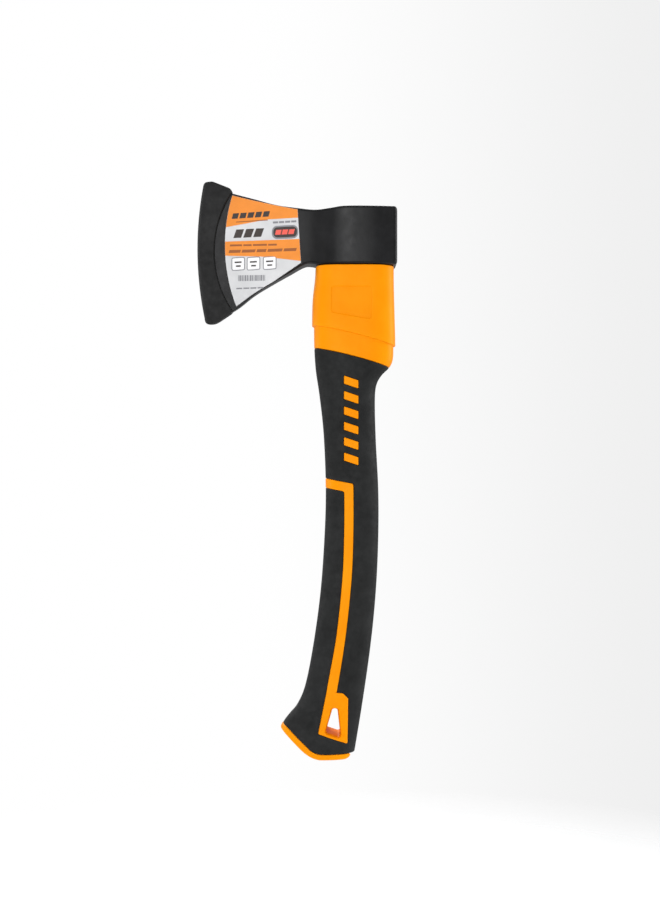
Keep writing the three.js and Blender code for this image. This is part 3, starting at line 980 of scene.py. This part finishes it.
def cheek_point(x, z, lift):
    """The point over (x, z) on the near cheek, lifted off it."""
    station = np.array(x, float)
    for _ in range(8):
        station = station + (x - bent(station, z))
    return np.stack([x + 0 * station, -(head_half(station) + lift), z + 0 * station], -1)


def sheet(flat, lift, thickness):
    """A closed sheet over a grid of (x, z) points."""
    x, z = flat[..., 0], flat[..., 1]
    return plate(cheek_point(x, z, lift + thickness), cheek_point(x, z, lift))


def blob(outline, rows=14, columns=10):
    """A grid of (x, z) points that fills any convex outline."""
    ring = np.vstack([outline, outline[:1]])
    low, high = ring[:, 1].min(), ring[:, 1].max()
    share = (1 - np.cos(np.linspace(0, np.pi, rows + 1))) / 2
    flat = []
    for z in high + (low - high) * np.clip(share, 0.004, 0.996):
        crossings = []
        for (ax, az), (bx, bz) in zip(ring[:-1], ring[1:]):
            if (az - z) * (bz - z) <= 0 and az != bz:
                crossings.append(ax + (bx - ax) * (z - az) / (bz - az))
        x = np.linspace(min(crossings), max(crossings), columns + 1)
        flat.append(np.stack([x, np.full_like(x, z)], -1))
    return np.array(flat)


FILM_FRONT_X, FILM_FRONT_MID_Z, FILM_FRONT_RADIUS = -84.9, -24, 113  # its hollow edge
FILM_FRONT_Z, FILM_BACK_Z = (8.7, -64.4), (-1.5, -36.4)  # top and bottom of each edge
FILM_BACK_X = (-37, -34.8)
FILM_SAG = 0.35  # of its top edge
FILM_MARGIN = 0.5  # least distance from the blade's lower edge
PRINT_INSET = 0.06  # from the film's edges
FILM_THICK, INK = 0.14, 0.03
ON_HEAD = 0.12  # the film's underside
ON_FILM = ON_HEAD + FILM_THICK
ON_INK = ON_FILM + INK


def label_film():
    """The film itself: its front edge is an arc, its back edge nearly straight."""
    t, s = np.linspace(0, 1, 61)[:, None], np.linspace(0, 1, 41)
    front_z, back_z = (top + t * (low - top) for top, low in (FILM_FRONT_Z, FILM_BACK_Z))
    front_x = FILM_FRONT_X + arc_dip(front_z, FILM_FRONT_MID_Z, FILM_FRONT_RADIUS)
    back_x = FILM_BACK_X[0] + t * (FILM_BACK_X[1] - FILM_BACK_X[0])
    x = front_x * (1 - s) + back_x * s
    z = front_z * (1 - s) + back_z * s - FILM_SAG * 4 * s * (1 - s) * (1 - t) ** 2
    z = z + np.maximum(head_bottom(x[-1]) + FILM_MARGIN - z[-1], 0) * t**2
    return np.stack([x, z], -1)


def bar(start, width, height, slope, slant, spans):
    """A grid of (x, z) points over a printed bar whose middle line begins at start."""
    s = np.linspace(0, 1, spans[0] + 1)[None, :]
    t = np.linspace(1, -1, spans[1] + 1)[:, None]
    x = start[0] + s * width + t * slant
    return np.stack([x, start[1] + s * slope * width + t * height / 2], -1)


def film_cut(top, bottom, columns=40, rows=6):
    """The part of the film between two lines z(x), from its front edge to its back."""
    rising = label_film()[::-1]
    s = np.linspace(0, 1, columns + 1)
    out = []
    for t in np.linspace(0, 1, rows + 1):
        x = FILM_FRONT_X + s * (FILM_BACK_X[0] - FILM_FRONT_X)
        for _ in range(6):
            z = (1 - t) * top(x) + t * bottom(x)
            low = np.interp(z[0], rising[:, 0, 1], rising[:, 0, 0]) + PRINT_INSET
            high = np.interp(z[-1], rising[:, -1, 1], rising[:, -1, 0]) - PRINT_INSET
            x = low + s * (high - low)
        out.append(np.stack([x, z], -1))
    return np.array(out)


class Print:
    """The printed film as one mesh: closed sheets, each in one ink."""

    def __init__(self, inks):
        self.order = list(inks)
        self.sheets, self.kinds = [], []

    def add(self, flat, ink, layer, thickness=INK):
        self.sheets.append(sheet(flat, layer, thickness))
        self.kinds += [self.order.index(ink)] * len(self.sheets[-1][1])

    def row(self, ink, layer, start, widths, gap, height, slope, slant=0, spans=(2, 1), rise=None):
        """Bars side by side. Each starts higher than the last by rise, or if that isn't
        given, on the line that the slope makes."""
        x, z = start
        for width in widths:
            self.add(bar((x, z), width, height, slope, slant, spans), ink, layer)
            x += width + gap
            z += slope * (width + gap) if rise is None else rise

    def pad(self, ink, layer, outline, radius, grow=0.0):
        """A field with rounded corners."""
        self.add(blob(rounded_outline(outline, radius, grow)), ink, layer)


def print_orange(label):
    """Two orange fields: one under the film's top edge, and a band across."""
    film_top = label_film()[0] - (0, PRINT_INSET)
    for top, bottom in (
        (film_top, [(-84.5, -12.2), (-56.8, -7.6), (-37, -6.9)]),
        ([(-85, -21.6), (-35, -20.8)], [(-85, -30.9), (-60, -31.9), (-35, -35.2)]),
    ):
        label.add(film_cut(line_fn(top), line_fn(bottom)), "orange", ON_FILM)


def print_upper(label):
    """Blocks and a rule on the upper field, blocks and a pill on the silver below it."""
    label.row("black", ON_INK, (-80, -5), [4.0] * 5, 1.1, 3.6, 0.045, 0.5, (2, 2))
    label.row("brown", ON_INK, (-77.5, -8.9), [21.0], 0, 0.55, 0.045, 0, (12, 1))
    label.row("black", ON_FILM, (-78.4, -16.6), [5.2] * 3, 1.4, 5.6, 0.03, 1.0, (3, 3), 0.2)
    pill = [(-53.9, -11.9), (-36.6, -11.5), (-36.6, -20.4), (-53.9, -20.6)]
    label.pad("grey", ON_INK, pill, 3.6)
    inner = [(-52.9, -12.9), (-37.4, -12.5), (-37.4, -19.4), (-52.9, -19.6)]
    label.pad("black", ON_INK + INK, inner, 2.8)
    label.row("red", ON_INK + 2 * INK, (-51.4, -16.2), [3.6] * 3, 0.7, 3.2, 0.02, 0.4, rise=0.1)
    label.row("grey", ON_FILM, (-53.2, -9.7), [3.4] * 4, 0.6, 1.3, 0.03)


def print_lower(label):
    """Two broken lines on the orange band, then frames, upright bars and a line."""
    widths = (8.0, 5.4, 9.2, 5.6)
    label.row("brown", ON_INK, (-81.6, -24.2), widths, 0.9, 1.2, 0, 0, (6, 1))
    widths = (7.6, 8.8, 6.2, 9.6, 8.2)
    label.row("brown", ON_INK, (-82.2, -28.2024), widths, 1.0, 1.9, 0.012, 0.3, (6, 1))
    for x, z in ((-76.1, -36.5), (-66.0, -36.4), (-55.3, -36.2)):
        frame = [(x - 4.5, z + 4.4), (x + 4.5, z + 4.7), (x + 4.5, z - 4.2), (x - 4.5, z - 4.5)]
        label.pad("grey", ON_FILM, frame, 1.4)
        label.pad("white", ON_INK, frame, 1.4, -0.6)
        label.row("black", ON_INK + INK, (x - 2.4, z + 1.1), [4.6], 0, 1.0, 0.03)
        label.row("black", ON_INK + INK, (x - 1.6, z - 1.4), [3.2], 0, 1.0, 0.03)
    widths = [0.42 + 0.34 * ((k * 5) % 3) for k in range(16)]
    label.row("grey", ON_FILM, (-76.2, -45.8), widths, 0.4, 3.8, 0, 0, (1, 1))
    label.row("grey", ON_FILM, (-77.4, -52.6), [3.9] * 4, 0.8, 0.9, 0.02, 0, (3, 1), 0.1)


INK_COLORS = {
    "orange": (233, 137, 38), "black": (52, 44, 40), "brown": (150, 84, 30),
    "grey": (130, 130, 134), "white": (240, 240, 241), "red": (236, 92, 78),
}


def label_piece():
    inks = {"silver": silver_film()}
    for name, color in INK_COLORS.items():
        inks[name] = print_ink("label_" + name, srgb(*color))
    label = Print(inks)
    label.add(label_film(), "silver", ON_HEAD, FILM_THICK)
    print_orange(label)
    print_upper(label)
    print_lower(label)
    materials = list(inks.values())
    piece = make("cheek_label", joined(label.sheets), materials, label.kinds, sharp=30)
    settle(piece, "face_label")


# ---- the edge guard

GUARD_BACK_X, GUARD_BACK_MID_Z, GUARD_BACK_RADIUS = -91.9, -28, 70  # its hollow back edge
GUARD_BACK_LOW, GUARD_BACK_HIGH = -67.2, 11.0  # where that arc ends
GUARD_NOSE_HALF, GUARD_TAPER = 3.0, 0.1  # half thickness at the nose, and its growth
GUARD_ROUND = 1.1  # of its edges; the nose is fully round
GUARD_DEEP, GUARD_TALL = 14, 94  # roughly, for the spacing of its grid
CAVITY_GAP = 0.3


def guard_front(z):
    return NOSE_X + bow(z)


def guard_back(z):
    return GUARD_BACK_X + arc_dip(z, GUARD_BACK_MID_Z, GUARD_BACK_RADIUS)


def guard_sides():
    """The guard's outline as four lines that meet half-way round its corners: bottom and
    top, which run forwards, and back and front, which run upwards."""
    back_z = np.linspace(GUARD_BACK_LOW, GUARD_BACK_HIGH, 60)
    front_z = np.linspace(GUARD_BOTTOM + 4.2, GUARD_TOP - 3.6, 60)
    back = np.stack([guard_back(back_z), back_z], -1)
    front = np.stack([guard_front(front_z), front_z], -1)
    toe = bezier((-96.4, GUARD_TOP), (-99.2, GUARD_TOP), front[-1], 17)
    heel = bezier((-94.8, GUARD_BOTTOM), (-98.5, GUARD_BOTTOM), front[0], 17)
    top = np.vstack([
        bezier(back[-1], (-80.9, 13.0), (-82.6, 13.7), 8),
        bezier((-91.6, 17.4), (-93.2, GUARD_TOP), (-95, GUARD_TOP), 8),
        toe[:9],
    ])
    bottom = np.vstack([
        bezier(back[0], (-80.4, -68.5), (-81.8, -69.4), 8),
        bezier((-87.6, -73.4), (-91.2, -75.9), (-94, GUARD_BOTTOM), 10),
        heel[:9],
    ])
    return bottom, top, back, np.vstack([heel[8:], front[1:-1], toe[:7:-1]])


def along(points, shares):
    """Points at shares of a line's length."""
    run = np.concatenate([[0], np.cumsum(np.hypot(*np.diff(points, axis=0).T))])
    at = shares * run[-1]
    return np.stack([np.interp(at, run, points[:, 0]), np.interp(at, run, points[:, 1])], -1)


def stretched(bottom, top, back, front, u, v):
    """A grid of points between four side lines."""
    low, high = along(bottom, u)[None], along(top, u)[None]
    rear, nose = along(back, v)[:, None], along(front, v)[:, None]
    u, v = u[None, :, None], v[:, None, None]
    rows = (1 - v) * low + v * high
    corners = (1 - u) * ((1 - v) * low[:, :1] + v * high[:, :1])
    corners = corners + u * ((1 - v) * low[:, -1:] + v * high[:, -1:])
    return rows + (1 - u) * rear + u * nose - corners


def clustered(length, step):
    """Shares of a length, closer together near both ends."""
    ends = np.array([0, 0.06, 0.18, 0.36, 0.6, 0.9, 1.3, 1.8, 2.5, 3.4])
    count = round((length - 2 * ends[-1]) / step)
    middle = np.linspace(ends[-1], length - ends[-1], count + 1)[1:-1]
    return np.concatenate([ends, middle, length - ends[::-1]]) / length


def guard_piece():
    bottom, top, back, front = guard_sides()
    shares = clustered(GUARD_DEEP, 0.6), clustered(GUARD_TALL, 1.1)
    grid = stretched(bottom, top, back, front, *shares)
    x, z = grid[..., 0], grid[..., 1]
    rim = np.vstack([bottom[:-1], front[:-1], top[:0:-1], back[::-1]])
    inside = polyline_distance(x, z, rim)
    inside[[0, -1]] = 0
    inside[:, [0, -1]] = 0
    behind = x - guard_front(z)
    half = GUARD_NOSE_HALF + GUARD_TAPER * behind
    radius = half + (GUARD_ROUND - half) * smooth(behind, 1.5, 7)
    y = half - rolled(inside, radius)
    skin = plate(np.stack([x, -y, z], -1), np.stack([x, y, z], -1))
    guard = make("blade_guard", skin, [GUARD_RUBBER], sharp=45)
    cut(guard, cavity_cutter(), 45)
    settle(guard, "edge_guard", "guard")


def cavity_cutter():
    """The blade and a gap all round it, so that the guard hooks over its toe and heel."""
    bevel = np.linspace(EDGE_X - CAVITY_GAP, EDGE_X + BEVEL, 8)
    xs = np.concatenate([bevel, np.linspace(EDGE_X + BEVEL, -60, 24)[1:]])
    rings = blade_rings(xs, CAVITY_GAP, 1.0, rows=40, flat=2, arc=4)
    return make("cavity_cutter", tube(rings, flat=2), [GUARD_RUBBER])


# ---- assembly

head_piece()
guard_piece()
label_piece()
grip_piece()
jacket_piece()
core_piece()
resin_piece()
seal_piece()

# ---- floor, light and camera

FLOOR_RADIUS, FLOOR_Z = 800, BUTT_Z - 240
MIDDLE = (-30, 0, -150)  # of the axe


def floor():
    """A pale round floor under the hanging axe that fades out towards its rim."""
    rings, around = np.linspace(0.01, 1, 24) * FLOOR_RADIUS, 96
    turn = np.linspace(0, 2 * np.pi, around, endpoint=False)
    circle = np.stack([np.cos(turn), np.sin(turn), 0 * turn], -1)
    verts = (rings[:, None, None] * circle).reshape(-1, 3) + (MIDDLE[0], 0, FLOOR_Z)
    faces = [tuple(range(around))] + quads(len(rings), around, wrap=True)
    make("floor", (verts, faces), [pale_floor()])


def pale_floor():
    s = Shader("pale_floor", (0.9, 0.9, 0.9), 0.9, specular=0.1)
    s.color(s.noise(12, 2), 0.3, 0.7, (0.88, 0.88, 0.88), (0.92, 0.92, 0.92))
    s.out.inputs["Emission Color"].default_value = (1, 1, 1, 1)
    s.out.inputs["Emission Strength"].default_value = 0.08
    radius = s.node("ShaderNodeVectorMath", Vector=s.place)
    radius.operation = "LENGTH"
    low = math.hypot(FLOOR_Z * MM, 0.25)
    high = math.hypot(FLOOR_Z * MM, FLOOR_RADIUS * MM * 0.98)
    fade = s.ramp(radius.outputs["Value"], low, high, 1.0, 0.0)
    return s.link(fade, "Alpha").material


def area_light(name, place, size, watts):
    """A rectangular light turned towards the middle of the axe, in millimetres."""
    data = bpy.data.lights.new(name, "AREA")
    data.shape = "RECTANGLE"
    data.size, data.size_y = (side * MM for side in size)
    data.energy = watts
    lamp = bpy.data.objects.new(name, data)
    lamp.location = Vector(place) * MM
    direction = Vector(MIDDLE) - Vector(place)
    lamp.rotation_euler = direction.to_track_quat("-Z", "Y").to_euler()
    SCENE.collection.objects.link(lamp)


FALL_FROM_TO, DIMMEST = (0.35, 1.1), 0.86  # the backdrop darkens across the picture
ROOM_COLOR, ROOM_LIGHT = (0.97, 0.98, 1, 1), 0.47


def world():
    """Near white to the camera, and a dimmer even light on the object."""
    w = bpy.data.worlds.new("studio")
    SCENE.world = w
    w.use_nodes = True
    tree = w.node_tree
    window = add_node(tree, "ShaderNodeTexCoord").outputs["Window"]
    across = add_node(tree, "ShaderNodeSeparateXYZ", Vector=window).outputs["X"]
    fall = add_ramp(tree, across, *FALL_FROM_TO, 1.0, DIMMEST)
    fall.interpolation_type = "SMOOTHSTEP"
    strength = fall.outputs["Result"]
    seen = add_node(tree, "ShaderNodeBackground", Color=(1, 1, 1, 1), Strength=strength)
    lit = tree.nodes["Background"]
    lit.inputs["Color"].default_value = ROOM_COLOR
    lit.inputs["Strength"].default_value = ROOM_LIGHT
    by_camera = add_node(tree, "ShaderNodeLightPath").outputs["Is Camera Ray"]
    mix = add_node(tree, "ShaderNodeMixShader", Fac=by_camera)
    tree.links.new(lit.outputs["Background"], mix.inputs[1])
    tree.links.new(seen.outputs["Background"], mix.inputs[2])
    tree.links.new(mix.outputs["Shader"], tree.nodes["World Output"].inputs["Surface"])


CAMERA = (-15.8, -800, -158.7)
HALF_VIEW = 297  # half the picture's height where the axe hangs


def camera():
    """Square to the side, level with the middle of the handle."""
    data = bpy.data.cameras.new("camera")
    data.sensor_width = 36
    data.lens = 36 / 2 / (HALF_VIEW / -CAMERA[1])
    data.clip_start = 0.01
    cam = bpy.data.objects.new("camera", data)
    cam.location = Vector(CAMERA) * MM
    cam.rotation_euler = (math.pi / 2, 0, 0)
    SCENE.collection.objects.link(cam)
    SCENE.camera = cam


floor()
world()
camera()
area_light("key", (-175, -1150, 40), (480, 1000), 8.6)
area_light("left", (-950, 60, 60), (300, 1000), 4)
area_light("right", (950, 60, 100), (350, 1000), 8)
area_light("back", (-300, 900, 600), (800, 800), 12)
SCENE.view_settings.view_transform = "Standard"
